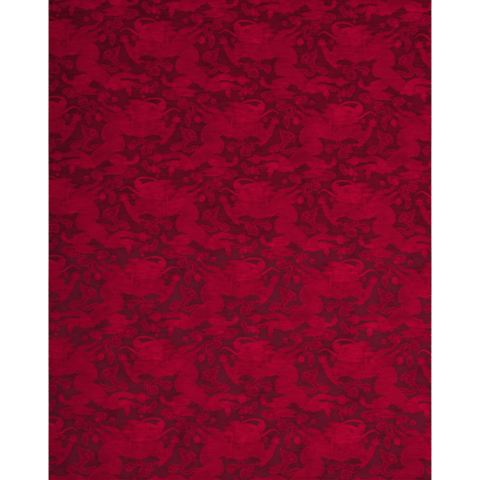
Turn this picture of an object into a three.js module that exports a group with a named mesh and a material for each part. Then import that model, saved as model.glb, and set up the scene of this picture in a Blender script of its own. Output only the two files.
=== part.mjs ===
// A cut length of figured red silk damask, lying flat with its face up.
// Millimetres, +Z up. The origin is the middle of the underside, X runs across the loom (the weft)
// and Y runs along the cloth (the warp).
import * as THREE from "three";

// Driving dimensions. The woven figure repeats on a grid, and the cut is counted in repeats.
const repeatAcross = 190; // one repeat of the figure, measured along the weft
const repeatAlong = 306; // one repeat of the figure, measured along the warp: two rows
const repeatsWide = 3.88;
const repeatsLong = 3.07;
const clothWidth = repeatAcross * repeatsWide;
const clothLength = repeatAlong * repeatsLong;
const clothThickness = 1.5; // over the raised figure, with the threads' crimp

// The cloth is cut by hand, so an edge wanders a little to either side of its line.
const shearWander = 0.5; // furthest that a cut strays
const shearStrokes = 5; // snips along one edge that leave a wave
const stepAlongCut = 24; // distance between two points of a cut edge

// A cut edge isn't a sharp arris: the outer threads are pressed round.
const easedEdge = 0.4;
const easedSteps = 2;

// How far the cut strays at a share t, from 0 to 1, along an edge. It is nothing at the corners.
function strayed(t, phase) {
  const slow = Math.sin(Math.PI * shearStrokes * t + phase);
  const quick = 0.4 * Math.sin(Math.PI * 2.6 * shearStrokes * t + 2 * phase);
  return shearWander * Math.sin(Math.PI * t) * (slow + quick) * 0.7;
}

// The points of one cut edge, from one corner up to but not including the next.
function cutEdge(from, to, phase) {
  const along = new THREE.Vector2().subVectors(to, from);
  const steps = Math.round(along.length() / stepAlongCut);
  const outwards = new THREE.Vector2(along.y, -along.x).normalize();
  return Array.from({ length: steps }, (_, i) =>
    from
      .clone()
      .addScaledVector(along, i / steps)
      .addScaledVector(outwards, strayed(i / steps, phase)),
  );
}

// The outline of the cut, anticlockwise, held in from the full size by the eased edge,
// which the extrusion's bevel adds again.
function clothOutline() {
  const x = clothWidth / 2 - easedEdge - shearWander;
  const y = clothLength / 2 - easedEdge - shearWander;
  const corners = [
    new THREE.Vector2(-x, -y),
    new THREE.Vector2(x, -y),
    new THREE.Vector2(x, y),
    new THREE.Vector2(-x, y),
  ];
  const points = corners.flatMap((corner, i) =>
    cutEdge(corner, corners[(i + 1) % corners.length], 1.3 * i),
  );
  return new THREE.Shape(points);
}

// The cloth itself: one sheet, flat on its underside, with both arrises eased.
function clothSheet() {
  const sheet = new THREE.ExtrudeGeometry(clothOutline(), {
    depth: clothThickness - 2 * easedEdge,
    bevelEnabled: true,
    bevelThickness: easedEdge,
    bevelSize: easedEdge,
    bevelSegments: easedSteps,
  });
  return sheet.translate(0, 0, easedEdge);
}

const redSilk = new THREE.MeshStandardMaterial({
  color: 0x7d0424,
  roughness: 0.55,
  metalness: 0,
});

const damask = new THREE.Group();
const cloth = new THREE.Mesh(clothSheet(), redSilk);
cloth.name = "damask_length";
damask.add(cloth);

export default damask;
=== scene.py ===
from cmath import exp, rect
from math import pi, radians, sin

import bpy
import numpy as np
from mathutils.geometry import delaunay_2d_cdt
from mathutils.kdtree import KDTree
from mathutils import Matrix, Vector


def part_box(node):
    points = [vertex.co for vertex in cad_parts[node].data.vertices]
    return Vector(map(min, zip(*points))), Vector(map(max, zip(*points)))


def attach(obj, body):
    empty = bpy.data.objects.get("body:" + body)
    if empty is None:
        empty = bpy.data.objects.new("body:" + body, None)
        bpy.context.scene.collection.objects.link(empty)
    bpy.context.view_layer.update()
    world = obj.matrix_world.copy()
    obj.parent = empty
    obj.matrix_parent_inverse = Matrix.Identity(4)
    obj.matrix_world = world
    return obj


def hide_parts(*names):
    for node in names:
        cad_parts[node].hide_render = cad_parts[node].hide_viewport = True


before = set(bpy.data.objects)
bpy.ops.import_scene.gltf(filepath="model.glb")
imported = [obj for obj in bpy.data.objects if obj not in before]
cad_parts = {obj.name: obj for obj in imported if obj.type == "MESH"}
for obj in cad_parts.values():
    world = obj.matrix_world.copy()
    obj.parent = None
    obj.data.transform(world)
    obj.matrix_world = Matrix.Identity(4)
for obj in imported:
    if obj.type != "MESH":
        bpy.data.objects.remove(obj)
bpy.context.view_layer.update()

# The place of the cloth. It lies face up, square to the picture, and the camera hangs straight
# above it. The two cut ends run just past the picture's top and bottom.
low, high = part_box("damask_length")
cloth_width, cloth_length = high.x - low.x, high.y - low.y
length_in_view = 0.9216
camera_height = 2.6

bpy.ops.object.camera_add(location=(0, 0, camera_height), rotation=(0, 0, 0))
camera = bpy.context.object
camera.data.sensor_width = 36
camera.data.lens = camera.data.sensor_width * (camera_height - high.z) / length_in_view
bpy.context.scene.camera = camera

# The figure is a running dragon among clouds and flames, an old pattern of silk weaving. It is drawn
# here once, in millimetres about the dragon's head with x to the right and y up, as outlines that
# cover one another in the order in which they are laid. Each names the weave that fills it.
figure = []
drawing_step = 2.5


def flowing(points, closed=False):
    """A smooth line through given points, as points about one drawing step apart."""
    if closed:
        run = [points[-1], *points, points[0], points[1]]
    else:
        run = [2 * points[0] - points[1], *points, 2 * points[-1] - points[-2]]
    line = []
    for before, a, b, after in zip(run, run[1:], run[2:], run[3:]):
        parts = max(1, round(abs(b - a) / drawing_step))
        for t in (k / parts for k in range(parts)):
            line.append(
                a * (2 * t**3 - 3 * t**2 + 1)
                + b * (3 * t**2 - 2 * t**3)
                + (b - before) / 2 * (t**3 - 2 * t**2 + t)
                + (after - a) / 2 * (t**3 - t**2)
            )
    return line if closed else [*line, points[-1]]


def width_at(share, widths):
    """The width at a share, from 0 to 1, of a ribbon whose widths are evenly set along it."""
    return float(np.interp(share * (len(widths) - 1), range(len(widths)), widths))


def patch(weave, *points):
    """A shape with one smooth outline through given points."""
    figure.append((weave, flowing(points, closed=True), None))


def ribbon(weave, line, widths):
    """A band along a line. It keeps the line as its guide, which its tone fades along and the mane's strands
    follow.
    """
    reach = np.concatenate([[0], np.cumsum(np.abs(np.diff(line)))])
    ragged = 0.16
    if weave in ("scales", "line", "ground"):
        ragged = 0.0
    left, right = [], []
    for k, spot in enumerate(line):
        along = line[min(k + 1, len(line) - 1)] - line[max(k - 1, 0)]
        half = 0.5j * along / abs(along) * width_at(reach[k] / reach[-1], widths)
        left.append(spot + half * (1 + ragged * sin(2.3 * k + abs(spot))))
        right.append(spot - half * (1 + ragged * sin(2.9 * k + 2 * abs(spot))))
    figure.append((weave, left + right[::-1], line))


def band(weave, points, widths):
    """A ribbon along a smooth line through given points."""
    ribbon(weave, flowing(points), widths)


def swaying(root, tip, sway):
    """Four points from a root to a tip that bend to one side on the way."""
    reach = tip - root
    return [root, root + reach * (0.33 + 0.6j * sway), root + reach * (0.7 + 0.3j * sway), tip]


def flame(weave, root, tip, width, sway):
    """A lock or tongue of flame: fullest near its root, bent to one side, drawn out to a point."""
    band(weave, swaying(root, tip, sway), [0.75 * width, width, 0.85 * width, 0.45 * width, 0.05])


def leaf(weave, root, tip, width, sway):
    """A tongue that stands free, pointed at both ends."""
    band(weave, swaying(root, tip, sway), [0.4, 0.9 * width, width, 0.6 * width, 0.3])


def flames(weave, *rows):
    """Several locks or flames of one weave."""
    for root, tip, width, sway in rows:
        flame(weave, root, tip, width, sway)


def disc(weave, centre, radius):
    """A round shape, a little lobed as a hand draws it."""
    count = max(7, round(2 * pi * radius / drawing_step))
    outline = []
    for turn in (2 * pi * k / count for k in range(count)):
        lobed = 1 + 0.12 * sin(3 * turn + abs(centre)) + 0.1 * sin(5 * turn + 2 * abs(centre))
        outline.append(centre + rect(radius * lobed, turn))
    figure.append((weave, outline, None))


def curl(weave, centre, radius, turns, start, width):
    """A spiral from its rim in to its middle. Negative turns run clockwise."""
    parts = max(8, round(abs(turns) * pi * radius / drawing_step))
    line = [
        centre + rect(radius * (1 - 0.85 * k / parts), radians(start) + 2 * pi * turns * k / parts)
        for k in range(parts + 1)
    ]
    ribbon(weave, line, [width, width, 0.7 * width])


def cloud(centre, size, turn, side, tail):
    """A cloud scroll: a great curl between two lesser ones, over trailing tails."""
    spin = rect(size, radians(turn))

    def at(x, y):
        """A spot of the scroll, in shares of its size."""
        return centre + complex(x, side * y) * spin

    flame("cloud", at(0.4, -0.4), at(tail, -0.9), 0.8 * size, -0.12 * side)
    flame("cloud", at(-0.3, -0.45), at(-0.8 * tail, -0.95), 0.62 * size, 0.14 * side)
    flame("cloud", at(0.9, 0.1), at(0.5 + 0.7 * tail, 0.35), 0.5 * size, 0.2 * side)
    lobes = ((-1.12, -0.22, 0.6), (1.08, -0.2, 0.66), (0, 0.12, 0.94))
    for x, y, radius in lobes:
        disc("cloud", at(x, y), radius * size)
    band("cloud", [at(-1.1, -0.45), at(0, -0.7), at(1.1, -0.5)], [0.5 * size, 0.8 * size, 0.5 * size])
    for k, (x, y, radius) in enumerate(lobes):
        turns = (1.0 + 0.45 * (k == 2)) * side * (-1) ** k
        curl("line", at(x, y), 0.7 * radius * size, turns, turn - 90 * side, 1.7)


def paw(wrist, heading, size):
    """Five hooked claws spread from a round palm, which has a curl on it."""
    palm = wrist + rect(3.5 * size, radians(heading))
    for turn, reach in ((-105, 9), (-52, 12), (-10, 13), (32, 12), (80, 10)):
        out = rect(size, radians(heading + turn))
        tip = palm + reach * out + 4.5 * out * exp(-0.96j)
        band("bright", [palm, palm + 0.55 * reach * out, tip], [6.4 * size, 6.4 * size, 1.2])
    disc("bright", palm, 5.6 * size)
    curl("line", palm, 3.6 * size, 1, heading, 1.7)


def edged(weave, spine, widths):
    """A band with a bright line just inside each of its edges."""
    inset = 1.6
    line = flowing(spine)
    ribbon(weave, line, widths)
    reach = np.concatenate([[0], np.cumsum(np.abs(np.diff(line)))])
    for side in (0.5j, -0.5j):
        edge = []
        for k in range(1, len(line) - 1):
            along = line[k + 1] - line[k - 1]
            inner = width_at(reach[k] / reach[-1], widths) - 2 * inset
            edge.append(line[k] + side * along / abs(along) * inner)
        ribbon("line", edge, [1.0, 1.0])


def sky():
    """Clouds round the dragon, and the pearl in a wrap of cloud that it runs after."""
    # scrolls and small clouds below the hind legs
    cloud(88 - 117j, 7, 184, 1, 1.4)
    disc("cloud", 108 - 123j, 4.4)
    curl("line", 108 - 123j, 3, 1, 0, 1.7)
    cloud(24 - 112j, 8.6, -4, -1, 1.4)
    disc("cloud", 30 - 116j, 6)
    curl("line", 30 - 116j, 4.4, 1.2, 90, 1.8)
    band("cloud", [143 - 93j, 150 - 98j, 158 - 96j, 166 - 101j], [4, 5, 4, 4])
    flame("cloud", 188 - 88j, 177 - 108j, 9, 0.15)
    for centre, radius in ((161 - 107j, 4.4), (180 - 103j, 6), (163 - 117j, 2.8)):
        disc("cloud", centre, radius)
        curl("line", centre, 0.7 * radius, 1.2, 60, 1.7)
    leaf("bright", 170 - 111j, 170 - 92j, 10, 0.05)
    # the wrap of cloud, its pearl and the two scrolls at its foot
    band("cloud", [84 - 60j, 94 - 62j, 102 - 67j, 111 - 64j, 117 - 55j], [6, 6, 6, 6, 7])
    disc("cloud", 125 - 58j, 7)
    disc("cloud", 132 - 62j, 6.4)
    curl("ground", 124 - 56j, 3.2, 1, 0, 1.8)
    curl("line", 125 - 58j, 5, 1.2, 200, 1.7)
    curl("line", 132 - 62j, 4.4, -1.2, 0, 1.7)
    disc("cloud", 97 - 38j, 9.4)
    disc("cloud", 104 - 36j, 8)
    leaf("bright", 95 - 41j, 107 - 38j, 7, 0)
    flame("cloud", 104 - 44j, 118 - 20j, 14, 0.06)
    band("cloud", [104 - 40j, 108 - 48j, 115 - 57j], [12, 9, 8])
    curl("ground", 95 - 34j, 3.2, 1, 0, 1.6)
    curl("ground", 107 - 34j, 3.2, -1, 180, 1.6)
    curl("line", 95 - 36j, 7, 1.1, 0, 1.7)
    band("line", [103 - 47j, 110 - 40j, 116 - 26j], [1.2, 1.2, 1.2])
    # the cloud under the chest, on its stalk
    band("cloud", [4 - 42j, 2 - 49j, -6 - 54j, -11 - 60j], [7, 8, 6, 6])
    disc("cloud", -6 - 66j, 10)
    curl("line", -6 - 66j, 8, 1.2, 0, 1.8)
    curl("ground", -5 - 69j, 4, 1, 90, 2)
    band("cloud", [4 - 46j, 8 - 53j, 15 - 55j, 22 - 51j], [5, 5, 6, 7])
    disc("cloud", 22 - 59j, 7.4)
    curl("line", 22 - 59j, 5.4, -1.2, 0, 1.8)
    disc("cloud", -20 - 61j, 3.6)
    disc("cloud", -17 - 53j, 4)
    # the long cloud that winds up from the shoulder towards the row above
    band("cloud", [97 + 0j, 91 + 9j, 93 + 20j], [4, 4.6, 4.4])
    band("cloud", [98 + 0j, 101 + 8j, 106 + 12j], [3, 4, 5])
    band("line", [96 + 19j, 95 + 11j, 98 + 3j], [1.2, 1.2, 1.2])
    leaf("cloud", 105 + 5j, 103 - 20j, 11, 0.05)
    curl("line", 105 - 2j, 3.4, 1.2, 0, 1.7)
    band(
        "cloud",
        [88 + 14j, 93 + 21j, 99 + 24j, 105 + 19j, 111 + 18j, 119 + 16j],
        [5, 5.4, 5.4, 4.6, 6, 5],
    )
    band("cloud", [122 + 42j, 123 + 35j, 117 + 31j, 110 + 32j, 109 + 25j, 111 + 18j], [4, 5, 5, 4, 5, 5])
    disc("cloud", 114 + 24j, 4)
    disc("cloud", 120 + 22j, 4.6)
    curl("line", 120 + 22j, 3, 1.2, 0, 1.6)


def far_side():
    """What lies behind the body: shoulder flames, the two hind legs and the tail's tuft."""
    flames(
        "mane",
        (32 - 5j, 84 - 5j, 22, 0),
        (42 + 2j, 56 + 21j, 13, -0.1),
    )
    leaf("mane", 52 - 8j, 83 - 6j, 14, 0)
    leaf("mane", 54 - 1j, 80 + 1j, 9, 0.05)
    band("mane", [44 + 8j, 60 + 13j, 70 + 16j, 76 + 22j, 80 + 27j, 84 + 31j], [12, 10, 8, 7, 6, 4])
    band("mane", [60 - 4j, 72 + 5j, 80 + 11j, 91 + 15j], [9, 8, 7, 6])
    disc("bright", 83 + 30j, 4)
    flame("bright", 77 + 9j, 92 + 15j, 5, 0.1)
    leaf("bright", 84 - 14j, 86 + 5j, 10, 0.05)
    disc("bright", 86 - 5j, 6.4)
    edged("plain", [66 - 83j, 54 - 83j, 42 - 84j, 31 - 84j], [15, 13, 12, 10])
    flames(
        "plain",
        (62 - 88j, 26 - 96j, 14, -0.06),
        (60 - 99j, 24 - 101j, 8, 0.05),
        (44 - 107j, 80 - 106j, 11, 0.04),
        (42 - 103j, 74 - 101j, 8, -0.06),
        (44 - 111j, 79 - 115j, 9, 0.06),
        (50 - 106j, 30 - 103j, 7, 0.06),
        (50 - 110j, 32 - 111j, 8, -0.06),
    )
    leaf("bright", 34 - 108j, 58 - 108j, 8, 0)
    leaf("ground", 55 - 97j, 86 - 97j, 9, 0)
    band("plain", [36 - 93j, 22 - 92j, 14 - 86j, 12 - 76j], [11, 7, 7, 6])
    leaf("bright", 14 - 93j, 12 - 72j, 10, 0.05)
    leaf("bright", 6 - 84j, 18 - 80j, 6, 0.05)
    band("plain", [98 - 90j, 112 - 81j, 127 - 76j, 144 - 79j, 158 - 79j], [8, 12, 12, 9, 7])
    band("plain", [84 - 84j, 100 - 92j, 118 - 95j, 134 - 93j, 150 - 95j], [20, 24, 18, 13, 1])
    flames(
        "bright",
        (120 - 92j, 156 - 93j, 12, 0.03),
        (134 - 98j, 138 - 118j, 12, 0.04),
        (155 - 81j, 182 - 82j, 14, 0),
        (158 - 80j, 169 - 71j, 7, 0.1),
        (158 - 83j, 170 - 91j, 7, -0.1),
    )
    band("ground", [118 - 84j, 127 - 83j, 135 - 85j], [1, 4, 1])


def body():
    """The scaled body in its double bend, the chest and the near foreleg with its elbow tuft."""
    spine = [
        0 - 14j, 20 - 26j, 43 - 26j, 61 - 29j, 64 - 39j,
        51 - 55j, 58 - 65j, 75 - 73j, 87 - 82j, 97 - 89j,
    ]
    edged("scales", spine, [18, 26, 28, 31, 29, 36, 31, 32, 28, 18])
    leaf("ground", 38 - 72j, 57 - 74j, 5, 0)
    leaf("ground", 82 - 53j, 70 - 50j, 5, 0)
    patch(
        "scales",
        -36 - 14j, -38 - 32j, -22 - 34j, -10 - 39j, 3 - 44j,
        13 - 41j, 19 - 36j, 21 - 6j, 0 - 2j, -22 - 6j,
    )
    flame("plain", -50 - 37j, -22 - 53j, 13, 0.02)
    flame("plain", -46 - 40j, -32 - 58j, 12, 0.1)
    leaf("ground", -37 - 45j, -20 - 43j, 7, 0)
    leaf("ground", 28 - 40j, 46 - 39j, 7, 0)
    edged("scales", [-18 - 24j, -34 - 28j, -46 - 34j, -55 - 23j, -61 - 11j], [24, 22, 19, 12, 8])
    paw(-61 - 11j, 122, 0.8)
    patch("mane", 21 - 8j, 20 - 37j, 33 - 37j, 41 - 29j, 50 - 20j, 63 - 13j, 50 - 5j, 34 - 4j)
    band("line", [20 - 35.5j, 31 - 36j, 40 - 29j, 48 - 21j, 62 - 13j], [2.6, 2.8, 2, 1.4, 1])


def mane():
    """The mane behind the head, in locks that stream back over the shoulder."""
    patch(
        "mane",
        -12 + 24j, 4 + 28j, 15 + 30j, 22 + 25j, 26 + 14j,
        26 + 0j, 20 - 10j, 2 - 12j, -14 - 8j, -18 + 8j,
    )
    flames(
        "mane",
        (0 + 21j, 31 + 29j, 14, -0.1),
        (8 + 12j, 40 + 18j, 12, -0.04),
        (6 + 2j, 34 - 1j, 12, 0.05),
        (0 - 6j, 24 - 12j, 12, 0.08),
        (-10 - 8j, 10 - 24j, 11, 0.1),
        (-18 - 10j, -4 - 28j, 10, 0.1),
    )
    flames(
        "mane",
        (2 + 16j, 24 + 22j, 7, -0.1),
        (4 + 8j, 26 + 11j, 7, -0.06),
        (2 - 2j, 20 - 6j, 7, 0.06),
    )
    leaf("bright", 14 + 6j, 42 + 6.5j, 9, 0.03)
    leaf("bright", 0 + 21j, 29 + 28j, 10, 0.05)
    leaf("bright", -2 - 4j, 25 - 7j, 13, 0.05)
    band("line", [18 + 4j, 20 - 8j, 20 - 23j, 20 - 36j], [1.4, 2.2, 2.2, 1.6])
    band("cloud", [25 - 11j, 26 - 3j, 34 + 2j], [2, 4.5, 2])


def head():
    """The head in profile: horn, whisker, snout, jaws, eye, cheek spines, teeth and beard."""
    band(
        "line",
        [-41 + 26j, -35 + 31j, -24 + 33j, -12 + 32j, -4 + 29j, 3 + 26j],
        [3.6, 3.2, 3, 3, 2.6, 1.6],
    )
    band(
        "line",
        [-32 + 0j, -42 + 5j, -50 + 11j, -58 + 14.5j, -66 + 12j, -71 + 7j],
        [3.4, 3.4, 3.2, 3, 2.6, 2],
    )
    disc("cloud", -44 - 4j, 6)
    curl("line", -44 - 4j, 4.2, 1.3, 60, 1.7)
    patch(
        "plain",
        -35 - 3j, -37 + 6j, -42 + 14j, -45 + 24j, -40 + 28j,
        -33 + 22j, -22 + 20j, -10 + 23j, 2 + 26j, 11 + 18j,
        14 + 4j, 8 - 8j, -8 - 9j, -22 - 8j,
    )
    patch(
        "mane",
        6 - 9j, -8 - 12j, -24 - 13j, -36 - 9j, -42 - 14j,
        -39 - 20j, -28 - 26j, -12 - 28j, 4 - 21j,
    )
    flames(
        "mane",
        (-36 - 20j, -46 - 38j, 10, 0.1),
        (-28 - 22j, -34 - 38j, 9, 0.1),
    )
    patch(
        "bright",
        -34 + 6j, -42 + 16j, -44 + 24j, -40 + 28j, -33 + 22j, -22 + 20j,
        -10 + 23j, 1 + 25j, 10 + 18j, 12 + 10j, -10 + 8j,
    )
    patch("bright", -43 + 25j, -37 + 28j, -31 + 21j, -27 + 12j, -28 + 3j, -33 + 1j, -38 + 14j)
    disc("bright", -33 + 23j, 3.6)
    band("bright", [-10 - 5j, -20 - 9j, -34 - 10j], [5, 4.6, 3.4])
    flames(
        "line",
        (-28 + 17j, 2 + 26j, 6, 0.04),
        (-10 + 12j, 12 + 18j, 5, 0.1),
        (-8 + 7j, 14 + 8j, 5, -0.1),
        (-10 + 2j, 10 - 2j, 5, -0.1),
        (-6 - 4j, 14 - 10j, 6, -0.1),
    )
    disc("line", -18 + 13j, 4.8)
    disc("cloud", -18 + 13j, 3.7)
    disc("bright", -18 + 13j, 2)
    disc("cloud", -36 + 9j, 4.6)
    curl("line", -36 + 9j, 3.2, 1.1, 0, 1.8)
    flames(
        "line",
        (-34 - 3j, -34 - 8j, 2.6, 0),
        (-29 - 4j, -29 - 8j, 2.4, 0),
        (-24 - 5j, -24 - 8j, 2.2, 0),
    )


def grown(outline, reach):
    """An outline with its points moved outwards, or inwards where the reach is negative."""
    spots = np.array(outline)
    along = np.roll(spots, -1) - np.roll(spots, 1)
    turning = np.sign((spots.conjugate() * np.roll(spots, -1)).imag.sum())
    return list(spots - reach * 1j * turning * along / np.maximum(np.abs(along), 0.01))


def rimmed(shapes):
    """The same shapes, with their clouds a little smaller over one bright rim."""
    out, inwards = 0.45, -0.55
    rims = [("rim", grown(outline, out), None) for weave, outline, guide in shapes if weave == "cloud"]
    inner = [
        (weave, grown(outline, inwards) if weave == "cloud" else outline, guide)
        for weave, outline, guide in shapes
    ]
    return rims + inner


sky()
figure[:] = rimmed(figure)
far_side()
body()
mane()
head()

# The loom repeats the dragon across the cloth, and turns every other row to face the other way. The
# outlines are laid over one repeat here, cut where they cross, and freed of what others cover.
repeat_across, repeat_along = 190.0, 306.0
row_pitch = repeat_along / 2
turned_row_shift = -27.0
repeat_left, repeat_top = -95.0, 76.0
thread_pitch = 0.5
longest_span = 12 * thread_pitch
outline_slack, back_slack = 0.45, 2.4


def laid_over_one_repeat():
    """The outlines that reach into the repeat, each as its weave, its points and its guide."""
    laid = []
    for row in range(-1, 4):
        for column in range(-2, 3):
            turned = row % 2 == 1
            for weave, outline, guide in figure:
                lines = [None if line is None else np.array(line) for line in (outline, guide)]
                for k, line in enumerate(lines):
                    if line is not None:
                        facing = -line.conjugate() + turned_row_shift if turned else line
                        lines[k] = facing + column * repeat_across - 1j * row * row_pitch
                x, y = lines[0].real - repeat_left, repeat_top - lines[0].imag
                if x.max() > 0 and x.min() < repeat_across and y.max() > 0 and y.min() < repeat_along:
                    laid.append((weave, *lines))
    return laid


laid = laid_over_one_repeat()


def into_repeat(spots):
    """The same spots of the figure, moved by whole repeats into the one that is laid."""
    x = repeat_left + (spots.real - repeat_left) % repeat_across
    y = repeat_top - (repeat_top - spots.imag) % repeat_along
    return x + 1j * y


def within(outline, spots):
    """The numbers of the spots that an outline covers."""
    x, y = outline.real, outline.imag
    boxed = (spots.real > x.min()) & (spots.real < x.max())
    boxed &= (spots.imag > y.min()) & (spots.imag < y.max())
    near = np.nonzero(boxed)[0]
    spot = spots[near][:, None]
    a, b = outline[None, :], np.roll(outline, -1)[None, :]
    beside = ((b - a).conjugate() * (spot - a)).imag
    upwards = (a.imag <= spot.imag) & (b.imag > spot.imag) & (beside > 0)
    downwards = (a.imag > spot.imag) & (b.imag <= spot.imag) & (beside < 0)
    return near[upwards.sum(1) != downwards.sum(1)]


def on_top(spots):
    """The number of the outline that covers each spot, or -1 on the bare ground."""
    spots = into_repeat(spots)
    found = np.full(len(spots), -1)
    for k, (weave, outline, guide) in enumerate(laid):
        found[within(outline, spots)] = k
    return found


def to_threads(spots):
    """The same spots, each moved to the nearest crossing of threads."""
    return (np.round(spots.real / thread_pitch) + 1j * np.round(spots.imag / thread_pitch)) * thread_pitch


def triangulated(spots, lines):
    """Triangles over the spots that keep to the lines."""
    found, _, faces, *_ = delaunay_2d_cdt([(s.real, s.imag) for s in spots], lines, [], 0, 0.01, False)
    return np.array([complex(*v) for v in found]), np.array([f for f in faces if len(f) == 3])


def cut_outlines():
    """Triangles of the repeat, cut along every outline, with the outline on top of each."""
    left, top = repeat_left, repeat_top
    right, bottom = left + repeat_across, top - repeat_along
    spots = [complex(left, bottom), complex(right, bottom), complex(right, top), complex(left, top)]
    lines = [(0, 1), (1, 2), (2, 3), (3, 0)]
    for weave, outline, guide in laid:
        first, count = len(spots), len(outline)
        spots += list(to_threads(outline))
        lines += [(first + k, first + (k + 1) % count) for k in range(count)]
    spots, faces = triangulated(spots, lines)
    middles = spots[faces].mean(1)
    kept = (middles.real > left) & (middles.real < right) & (middles.imag > bottom) & (middles.imag < top)
    return spots, faces[kept], on_top(middles[kept])


def seams(spots, faces, parts, slack):
    """The lines between unlike parts, straightened where a point strays less than the slack."""
    sides = {}
    for face, part in zip(faces.tolist(), parts.tolist()):
        for a, b in zip(face, face[1:] + face[:1]):
            sides.setdefault((min(a, b), max(a, b)), []).append(part)
    spots = to_threads(spots)
    places = {}
    links = {}
    for (a, b), beside in sides.items():
        if len(beside) < 2 or beside[0] == beside[1]:
            continue
        a, b = (places.setdefault(complex(spots[k]), k) for k in (a, b))
        if a != b:
            links.setdefault(a, set()).add(b)
            links.setdefault(b, set()).add(a)
    x, y = spots.real - repeat_left, repeat_top - spots.imag
    on_rim = np.minimum.reduce([x, repeat_across - x, y, repeat_along - y]) < thread_pitch / 2
    for sweep in range(3):
        for k in list(links):
            if len(links[k]) != 2 or on_rim[k]:
                continue
            a, b = links[k]
            span = spots[b] - spots[a]
            if b in links[a] or abs(span) < thread_pitch or abs(span) > longest_span:
                continue
            if abs(((spots[k] - spots[a]) * span.conjugate()).imag) / abs(span) < slack:
                links[a] = links[a] - {k} | {b}
                links[b] = links[b] - {k} | {a}
                del links[k]
    numbers = {k: i for i, k in enumerate(links)}
    lines = {(min(numbers[a], numbers[b]), max(numbers[a], numbers[b])) for a in links for b in links[a]}
    return spots[list(links)], np.array(sorted(lines))


repeat_spots, repeat_faces, repeat_parts = cut_outlines()

# The cloth itself: one sheet of silk, woven in one piece. The figure stands a little proud of the
# ground on the face, and rounds off at its edges; the back is smoother, with the two weaves changed
# over. Sizes are in millimetres, and the first head is placed from the middle of the cloth.
mm = 0.001
ground_height = 1.1
figure_lift, back_lift = 0.34, 0.14
face_seams, back_seams = (0.2, 0.6), (0.5, 1.0)
rounding = 1.15
lattice_pitch = 12.0
lattice_share, back_share = 0.997, 0.996
first_head = -158.8 + 390.9j
shear_wander, shear_strokes, shear_step = 0.15, 5, 12.0
second_wave, second_share, wander_share = 2.6, 0.4, 0.7

# How far the finished cloth is drawn off a true grid: shares of its width and length first, then how
# many millimetres the repeats crowd to the right and to the top, and how far the weft falls to the
# right, with a little more of that at the top.
wider_at_foot, wider_at_ends = 0.0129, 0.0105
length_share, longer_at_ends = 0.995, 0.0111
crowding_right, crowding_top = 3.1, 5.4
fall_right, more_fall_at_top = 5.6, 2.3
rounds_back_to_loom = 8

# Each weave: how bright it is, from the ground's 0 to near 1 in the finest lines, how much of that
# it loses towards the tips of its locks and flames, and whether it is raised.
weaves = {
    "ground": (0.0, 0.0, False),
    "cloud": (0.53, 0.1, True),
    "scales": (0.74, 0.0, True),
    "mane": (0.8, 0.35, True),
    "plain": (0.86, 0.1, True),
    "bright": (0.9, 0.3, True),
    "rim": (0.97, 0.0, True),
    "line": (0.98, 0.1, True),
}
woven = [weaves["ground"]] + [weaves[weave] for weave, outline, guide in laid]
brightness, fade, raised = (np.array([row[k] for row in woven]) for k in range(3))


def on_cloth(spots):
    """Where spots of the figure lie on the finished cloth. The weft falls a little to the right, and
    the cloth was drawn wider and longer towards its ends as it was finished."""
    q = spots + first_head
    u, v = q.real / (cloth_width / mm / 2), q.imag / (cloth_length / mm / 2)
    x = q.real * (1 - wider_at_foot * v + wider_at_ends * v**2) - crowding_right * u**2
    y = q.imag * (length_share + longer_at_ends * v**2)
    y = y - fall_right * u - more_fall_at_top * u * v - crowding_top * v**2
    return x + 1j * y


def on_loom(places):
    """The spots of the figure that lie at places on the finished cloth."""
    spots = places - first_head
    for turn in range(rounds_back_to_loom):
        spots = spots + places - on_cloth(spots)
    return spots


def cut_edge(start, end, phase):
    """One edge as the shears cut it, straying a little to either side of its line."""
    count = round(abs(end - start) / shear_step)
    t = np.arange(count) / count
    waves = np.sin(pi * shear_strokes * t + phase)
    waves = waves + second_share * np.sin(second_wave * pi * shear_strokes * t + 2 * phase)
    out = -1j * (end - start) / abs(end - start)
    return start + (end - start) * t + out * shear_wander * np.sin(pi * t) * waves * wander_share


half = complex(cloth_width, cloth_length) / mm / 2 - (1 + 1j) * shear_wander
corners = [-half, half.conjugate(), half, -half.conjugate()]
cut = on_loom(np.concatenate([cut_edge(corners[k], corners[(k + 1) % 4], 1.3 * k) for k in range(4)]))


def over_the_cloth(spots, lines):
    """Spots and lines of one repeat, repeated over the whole cloth."""
    wide = cut.real.min() - repeat_left, cut.real.max() - repeat_left
    long = repeat_top - cut.imag.max(), repeat_top - cut.imag.min()
    columns = range(int(wide[0] // repeat_across), int(wide[1] // repeat_across) + 1)
    rows = range(int(long[0] // repeat_along), int(long[1] // repeat_along) + 1)
    places, every_line = {}, set()
    for column in columns:
        for row in rows:
            moved = spots + column * repeat_across - 1j * row * repeat_along
            numbers = [places.setdefault(complex(spot), len(places)) for spot in moved]
            every_line |= {(numbers[a], numbers[b]) for a, b in lines}
    return np.array(list(places)), np.array(sorted(every_line))


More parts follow.
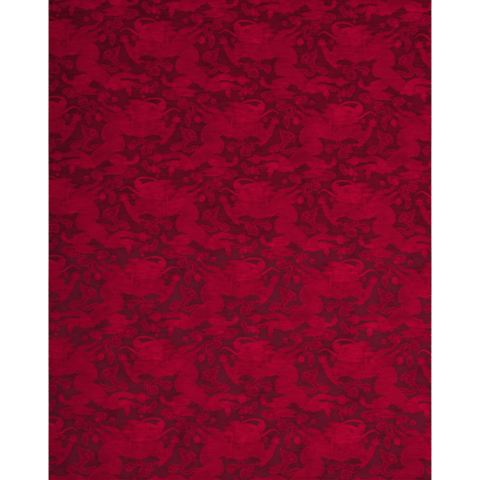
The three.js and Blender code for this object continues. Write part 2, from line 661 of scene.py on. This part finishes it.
def beside_seams(spots, lines):
    """Spots a rounding's width inside the figure along its seams, and a wide lattice between them."""
    starts, ends = spots[lines[:, 0]], spots[lines[:, 1]]
    along = ends - starts
    middles = (starts + ends) / 2
    on_seams = np.concatenate([spots, (2 * starts + ends) / 3, (starts + 2 * ends) / 3])
    tree = KDTree(len(on_seams))
    for spot in on_seams:
        tree.insert((spot.real, spot.imag, 0), 0)
    tree.balance()
    rims = np.concatenate([middles + way * 1j * along / np.abs(along) * rounding for way in (1, -1)])
    rims = rims[raised[on_top(rims) + 1]]
    columns, rows = round(repeat_across / lattice_pitch), round(repeat_along / lattice_pitch)
    lattice = [
        complex(
            repeat_left + (i + 0.5 * (j % 2)) * repeat_across / columns,
            repeat_top - (j + 0.5) * repeat_along / rows,
        )
        for i in range(columns)
        for j in range(rows)
    ]
    kept = {}
    for spot, clear, apart in [(s, 0.75, 2.5) for s in rims] + [(s, 2.0, 3.0) for s in lattice]:
        cell = (round(spot.real / 3), round(spot.imag / 3))
        near = []
        for i in (-1, 0, 1):
            for j in (-1, 0, 1):
                near += kept.get((cell[0] + i, cell[1] + j), [])
        away = tree.find((spot.real, spot.imag, 0))[2]
        if away > clear * rounding and all(abs(spot - other) > apart for other in near):
            kept.setdefault(cell, []).append(spot)
    return np.array([spot for spots in kept.values() for spot in spots])


def panel(spots, lines, loose, outline):
    """Triangles inside an outline that keep to the lines and pass through the loose spots."""
    reach = 2 * lattice_pitch
    near = (spots.real > outline.real.min() - reach) & (spots.real < outline.real.max() + reach)
    near &= (spots.imag > outline.imag.min() - reach) & (spots.imag < outline.imag.max() + reach)
    numbers = np.cumsum(near) - 1
    lines = numbers[lines[near[lines].all(1)]]
    first, count = near.sum() + len(loose), len(outline)
    rim = [(first + k, first + (k + 1) % count) for k in range(count)]
    found, faces = triangulated([*spots[near], *loose, *outline], lines.tolist() + rim)
    kept = faces[within(outline, found[faces].mean(1))]
    used, numbers = np.unique(kept, return_inverse=True)
    return found[used], numbers.reshape(kept.shape)


def rim_of(faces):
    """The edges that only one triangle has, each in that triangle's direction."""
    edges = {(a, b) for face in faces.tolist() for a, b in zip(face, face[1:] + face[:1])}
    return {a: b for a, b in edges if (b, a) not in edges}


seam_spots, seam_lines = seams(repeat_spots, repeat_faces, repeat_parts, outline_slack)
loose, _ = over_the_cloth(beside_seams(seam_spots, seam_lines), [])
loose = loose[within(on_loom(np.array(corners) * lattice_share), loose)]
face_spots, face_faces = panel(*over_the_cloth(seam_spots, seam_lines), loose, cut)
face_parts = on_top(face_spots[face_faces].mean(1)) + 1
face_rim = rim_of(face_faces)

relief = raised[repeat_parts + 1].astype(int)
back_spots, back_lines = over_the_cloth(*seams(repeat_spots, repeat_faces, relief, back_slack))
inside = np.zeros(len(back_spots), bool)
inside[within(on_loom(np.array(corners) * back_share), back_spots)] = True
back_lines = back_lines[inside[back_lines].all(1)]
used = np.unique(back_lines)
back_lines = np.searchsorted(used, back_lines)
round_the_edge = [next(iter(face_rim))]
while face_rim[round_the_edge[-1]] != round_the_edge[0]:
    round_the_edge.append(face_rim[round_the_edge[-1]])
edge_spots = face_spots[round_the_edge]
back_spots, back_faces = panel(back_spots[used], back_lines, [], edge_spots)
back_parts = on_top(back_spots[back_faces].mean(1)) + 1


def heights(count, faces, parts, seam_height):
    """How far each spot stands up in its relief, from 0 on the ground to 1 on the figure."""
    lowest, highest = np.full(count, 1.0), np.zeros(count)
    unlike = np.full(count, False)
    part_there = np.full(count, -1)
    for corner in range(3):
        spots = faces[:, corner]
        np.minimum.at(lowest, spots, raised[parts].astype(float))
        np.maximum.at(highest, spots, raised[parts].astype(float))
        np.maximum.at(part_there, spots, parts)
    for corner in range(3):
        spots = faces[:, corner]
        np.logical_or.at(unlike, spots, part_there[spots] != parts)
    height = np.where(lowest < highest, seam_height[0], lowest)
    return np.where(unlike & (lowest == 1.0), seam_height[1], height), ~unlike, lowest < highest


face_height, face_clear, face_outer = heights(len(face_spots), face_faces, face_parts, face_seams)
back_height, back_clear, back_outer = heights(len(back_spots), back_faces, back_parts, back_seams)

# One closed sheet: the face, the back turned over, and the thin cut edge between them.
first_back = len(face_spots)
rim_numbers = {complex(spot): k for k, spot in enumerate(back_spots)}
under = {a: first_back + rim_numbers[complex(face_spots[a])] for a in round_the_edge}
following = dict(zip(round_the_edge, round_the_edge[1:] + round_the_edge[:1]))
sides = [(under[a], under[b], b, a) for a, b in following.items()]
places = on_cloth(np.concatenate([face_spots, back_spots]))
up = np.concatenate([ground_height + figure_lift * face_height, back_lift * back_height])
middle = (low + high) / 2
cloth_mesh = bpy.data.meshes.new("red_damask")
cloth_mesh.from_pydata(
    [(middle.x + p.real * mm, middle.y + p.imag * mm, low.z + z * mm) for p, z in zip(places, up)],
    [],
    [*face_faces.tolist(), *(back_faces[:, ::-1] + first_back).tolist(), *sides],
)
cloth = bpy.data.objects.new("red_damask", cloth_mesh)
bpy.context.collection.objects.link(cloth)


def keep(name, domain, values):
    """An attribute of the mesh that its material reads."""
    cloth_mesh.attributes.new(name, "FLOAT", domain).data.foreach_set("value", values.astype(np.float32))


def faced_with(name):
    """Whether each triangle and edge strip is on the face and in one weave."""
    parts = np.array([False] + [weave == name for weave, outline, guide in laid])
    return np.concatenate([parts[face_parts], np.full(len(back_faces) + len(sides), False)])


figured = np.concatenate([raised[face_parts], ~raised[back_parts], np.full(len(sides), False)])
keep("figured", "FACE", figured)
keep("scaled", "FACE", faced_with("scales"))
keep("maned", "FACE", faced_with("mane"))
keep("clear", "POINT", np.concatenate([face_clear, back_clear]))
keep("outer", "POINT", np.concatenate([face_outer, back_outer]))


def along_the_guides(spots, faces, parts):
    """Where each corner of each triangle lies by the guide of its part: how far along it and across
    it, and which share of its length is behind."""
    found = np.zeros((len(faces), 3, 3))
    middles = spots[faces].mean(1)
    corners_at = spots[faces] + (into_repeat(middles) - middles)[:, None]
    for part in np.unique(parts):
        guide = laid[part - 1][2] if part else None
        if guide is None:
            continue
        own = np.nonzero(parts == part)[0]
        start, step = guide[:-1], np.diff(guide)
        reach = np.concatenate([[0], np.cumsum(np.abs(step))])
        spot = corners_at[own].reshape(-1, 1)
        share = ((spot - start) * step.conjugate()).real / np.abs(step) ** 2
        inner = np.clip(share, 0, 1)
        away = np.abs(spot - start - inner * step)
        nearest = away.argmin(1)
        row = np.arange(len(nearest))
        across = ((spot[:, 0] - start[nearest]) * step[nearest].conjugate()).imag / np.abs(step[nearest])
        along = reach[nearest] + inner[row, nearest] * np.abs(step[nearest])
        found[own] = np.stack([along, across, along / reach[-1]], 1).reshape(-1, 3, 3)
    return found


edge_tone = 0.3
guiding = along_the_guides(face_spots, face_faces, face_parts)
face_tone = brightness[face_parts][:, None] * (1 - fade[face_parts][:, None] * guiding[:, :, 2] ** 2)
back_tone = np.repeat(0.9 - 0.8 * brightness[back_parts], 3)
keep("tone", "CORNER", np.concatenate([face_tone.ravel(), back_tone, np.full(4 * len(sides), edge_tone)]))
guided = np.zeros((len(cloth_mesh.loops), 2), np.float32)
guided[: 3 * len(face_faces)] = guiding[:, :, :2].reshape(-1, 2) * mm
cloth_mesh.uv_layers.new(name="along the figure").data.foreach_set("uv", guided.ravel())
cloth_mesh.shade_smooth()


class Shade:
    """One value on its way through the nodes, so that shader sums can be written as sums."""

    def __init__(self, socket):
        self.socket = socket

    def math(self, operation, *others):
        return node("ShaderNodeMath", dict(operation=operation), self, *others)

    def __add__(self, other):
        return self.math("ADD", other)

    __radd__ = __add__

    def __sub__(self, other):
        return self.math("SUBTRACT", other)

    def __rsub__(self, other):
        return node("ShaderNodeMath", dict(operation="SUBTRACT"), other, self)

    def __mul__(self, other):
        return self.math("MULTIPLY", other)

    __rmul__ = __mul__

    def __truediv__(self, other):
        return self.math("DIVIDE", other)

    def __pow__(self, other):
        return self.math("POWER", other)

    def wave(self, length):
        """A wave that comes round once in each length."""
        return (self * (2 * pi / length)).math("SINE")


def node(kind, settings=None, *inputs, output=0, **named):
    """One node: its settings first, then the values or links of its sockets, in order or by name."""
    made = silk.node_tree.nodes.new(kind)
    for name, value in (settings or {}).items():
        if name == "stops":
            ramp = made.color_ramp
            while len(ramp.elements) < len(value):
                ramp.elements.new(0.5)
            for element, (place, colour) in zip(ramp.elements, value):
                element.position = place
                element.color = colour
        else:
            setattr(made, name, value)
    sockets = [*enumerate(inputs), *((name.replace("_", " "), value) for name, value in named.items())]
    for name, value in sockets:
        if isinstance(value, Shade):
            silk.node_tree.links.new(value.socket, made.inputs[name])
        elif value is not None:
            made.inputs[name].default_value = value
    return Shade(made.outputs[output])


def linear(*values):
    """A colour from its values as seen on a screen, 0 to 255."""
    shares = [v / 255 for v in values]
    return [((v + 0.055) / 1.055) ** 2.4 if v > 0.04045 else v / 12.92 for v in shares] + [1.0]


silk = bpy.data.materials.new("red silk damask")
silk.use_nodes = True
silk.node_tree.nodes.clear()
tone_there, figured_there, scaled_there, maned_there, clear_there, outer_there = (
    node("ShaderNodeAttribute", dict(attribute_name=name), output="Fac")
    for name in ("tone", "figured", "scaled", "maned", "clear", "outer")
)
place = node("ShaderNodeTexCoord", output="Object")
guide_place = node("ShaderNodeUVMap", dict(uv_map="along the figure"))
x, y = (node("ShaderNodeSeparateXYZ", None, place, output=k) for k in (0, 1))
across_guide = node("ShaderNodeSeparateXYZ", None, guide_place, output=1)

# The net of scales, the strands of the mane, the slubs of the weft and the slow drift of the dye.
scale_size, strand_width = 0.0054, 0.0026
net = ((x + y).wave(2 * scale_size) * (x - y).wave(2 * scale_size)).math("ABSOLUTE")
strands = across_guide.wave(strand_width)
slub = node("ShaderNodeMapping", dict(vector_type="POINT"), place, Scale=(45, 200, 0))
slub = node("ShaderNodeTexNoise", dict(noise_dimensions="3D"), slub, Scale=1.0, Detail=2.0, output="Fac")
drift = node("ShaderNodeTexNoise", dict(noise_dimensions="3D"), place, Scale=22.0, Detail=3.0, output="Fac")

# Towards a seam the figure's edge is dotted lighter, partly the binding of the weave and partly a
# painted highlight on its rounded edge; shapes that meet are parted by a darker line, and the ground
# beside the figure gets painted shade at its foot.
dot_size = 0.0044
painted_edge_highlight, parting_shade, painted_foot_shade = 0.3, 0.2, 0.08
scale_light, scale_shade, strand_light, ground_light = 0.38, 0.8, 0.12, 0.15
slub_light, slub_loss_on_figure, slub_middle, drift_light = 0.75, 0.25, 0.45, 0.5
near_seam = 1 - clear_there
dots = (x + y).wave(2 * dot_size) * (x - y).wave(2 * dot_size)
faint = 1 - tone_there
soft = faint.math("LESS_THAN", 0.4) * faint.math("GREATER_THAN", 0.05)
# Painted highlight, in dots, along the figure's edge against the ground, dimmed where its floats end softly.
outline = figured_there * outer_there * near_seam * (0.8 * dots - 0.3 * soft)
parting = figured_there * (1 - outer_there) * near_seam * (0.35 + 0.65 * tone_there.math("LESS_THAN", 0.85))
# Painted shade on the ground at the foot of the raised figure, strongest at the seam.
painted_foot_shade_mask = (1 - figured_there) * near_seam ** 1.5
shown = tone_there + painted_edge_highlight * outline - parting_shade * parting - painted_foot_shade * painted_foot_shade_mask
shown = shown + scaled_there * (scale_light - scale_shade * net ** 0.7) + maned_there * strands * strand_light
shown = shown + ground_light * (1 - figured_there)
shown = shown + (slub - slub_middle) * (slub_light - slub_loss_on_figure * figured_there)
shown = shown + (drift - 0.5) * drift_light

# The threads themselves: weft floats lie across the figure, warp floats run up the ground.
weft_pitch, warp_pitch = 0.0006, 0.0005
floats = y.wave(weft_pitch) + 0.4 * (x - y).wave(2 * weft_pitch)
satin = x.wave(warp_pitch) + 0.4 * (x + 2.5 * y).wave(2 * warp_pitch)
threads = figured_there * floats + (1 - figured_there) * 0.7 * satin

# The reds, with painted shade that darkens them towards the cloth's left edge, as though less light reached
# it there.
left_shade_starts, left_shade_width = -0.25, 0.12
thread_light, painted_left_shade, figure_light = 0.05, 0.14, 0.025
painted_shade_to_left = ((left_shade_starts - x) / left_shade_width).math("MAXIMUM", 0.0)
shown = shown + thread_light * threads - painted_left_shade * painted_shade_to_left + figure_light * figured_there
ramp = node(
    "ShaderNodeValToRGB",
    dict(stops=[
        (0.0, linear(84, 5, 24)),
        (0.2, linear(104, 6, 31)),
        (0.4, linear(121, 3, 34)),
        (0.6, linear(138, 1, 37)),
        (0.8, linear(155, 0, 42)),
        (1.0, linear(184, 1, 52)),
    ]),
    shown * 0.88 + 0.06,
)

# Painted sheen: low on the cloth the ground is mixed towards a greyish plum, as if its warp satin
# caught the lamp there, with less of it beside the seams.
sheen_starts, sheen_reach = 0.03, 0.06
sheen_share, sheen_loss_at_seams, sheen_drift = 0.5, 0.25, 0.8
painted_sheen_low_down = ((sheen_starts - y) / sheen_reach).math("MAXIMUM", 0.0).math("MINIMUM", 1.0)
painted_ground_sheen = (1 - figured_there) * painted_sheen_low_down
painted_ground_sheen = painted_ground_sheen * (sheen_share - sheen_loss_at_seams * near_seam + sheen_drift * (drift - 0.5))
sockets_before_colours = [None] * 5
# The painted sheen mixes the ground's red towards this greyish plum.
colour = node(
    "ShaderNodeMix",
    dict(data_type="RGBA"),
    painted_ground_sheen,
    *sockets_before_colours,
    ramp,
    linear(98, 22, 45),
    output=2,
)
relief_there = threads + 0.8 * slub - scaled_there * 0.8 * net
bump = node("ShaderNodeBump", None, Strength=0.5, Distance=0.00015, Height=relief_there, output="Normal")
shader = node(
    "ShaderNodeBsdfPrincipled",
    Base_Color=colour,
    Roughness=0.5 + 0.2 * figured_there + 0.1 * (slub - 0.5),
    Normal=bump,
    Specular_IOR_Level=0.03,
    Specular_Tint=(1, 0.7, 0.85, 1),
    Sheen_Weight=0.08,
    Sheen_Roughness=0.45,
    Sheen_Tint=(0.9, 0.0, 0.12, 1),
)
output = silk.node_tree.nodes.new("ShaderNodeOutputMaterial")
silk.node_tree.links.new(shader.socket, output.inputs["Surface"])
cloth_mesh.materials.append(silk)
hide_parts("damask_length")
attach(cloth, "root")

# The pale floor that the cloth is laid on, and soft studio light from above.
bpy.ops.object.select_all(action="DESELECT")
bpy.ops.mesh.primitive_plane_add(size=6, location=(0, 0, low.z - 0.0002))
floor = bpy.context.object
floor.name = "floor"
white = bpy.data.materials.new("pale floor")
white.use_nodes = True
paint = white.node_tree.nodes["Principled BSDF"].inputs
paint["Base Color"].default_value = (0.94, 0.94, 0.94, 1)
paint["Roughness"].default_value = 0.9
paint["Emission Color"].default_value = (1, 1, 1, 1)
paint["Emission Strength"].default_value = 1.0
floor.data.materials.append(white)

world = bpy.data.worlds.new("studio")
world.use_nodes = True
backdrop = world.node_tree.nodes["Background"].inputs
backdrop["Color"].default_value = (1, 1, 1, 1)
backdrop["Strength"].default_value = 0.4
bpy.context.scene.world = world

bpy.ops.object.light_add(type="AREA", location=(0.33, -0.15, 1.1))
lamp = bpy.context.object
lamp.data.shape = "RECTANGLE"
lamp.data.size = 1.0
lamp.data.size_y = 0.4
lamp.data.energy = 9.5
lamp.rotation_euler = (-lamp.location).to_track_quat("-Z", "Y").to_euler()
bpy.context.scene.view_settings.view_transform = "Standard"
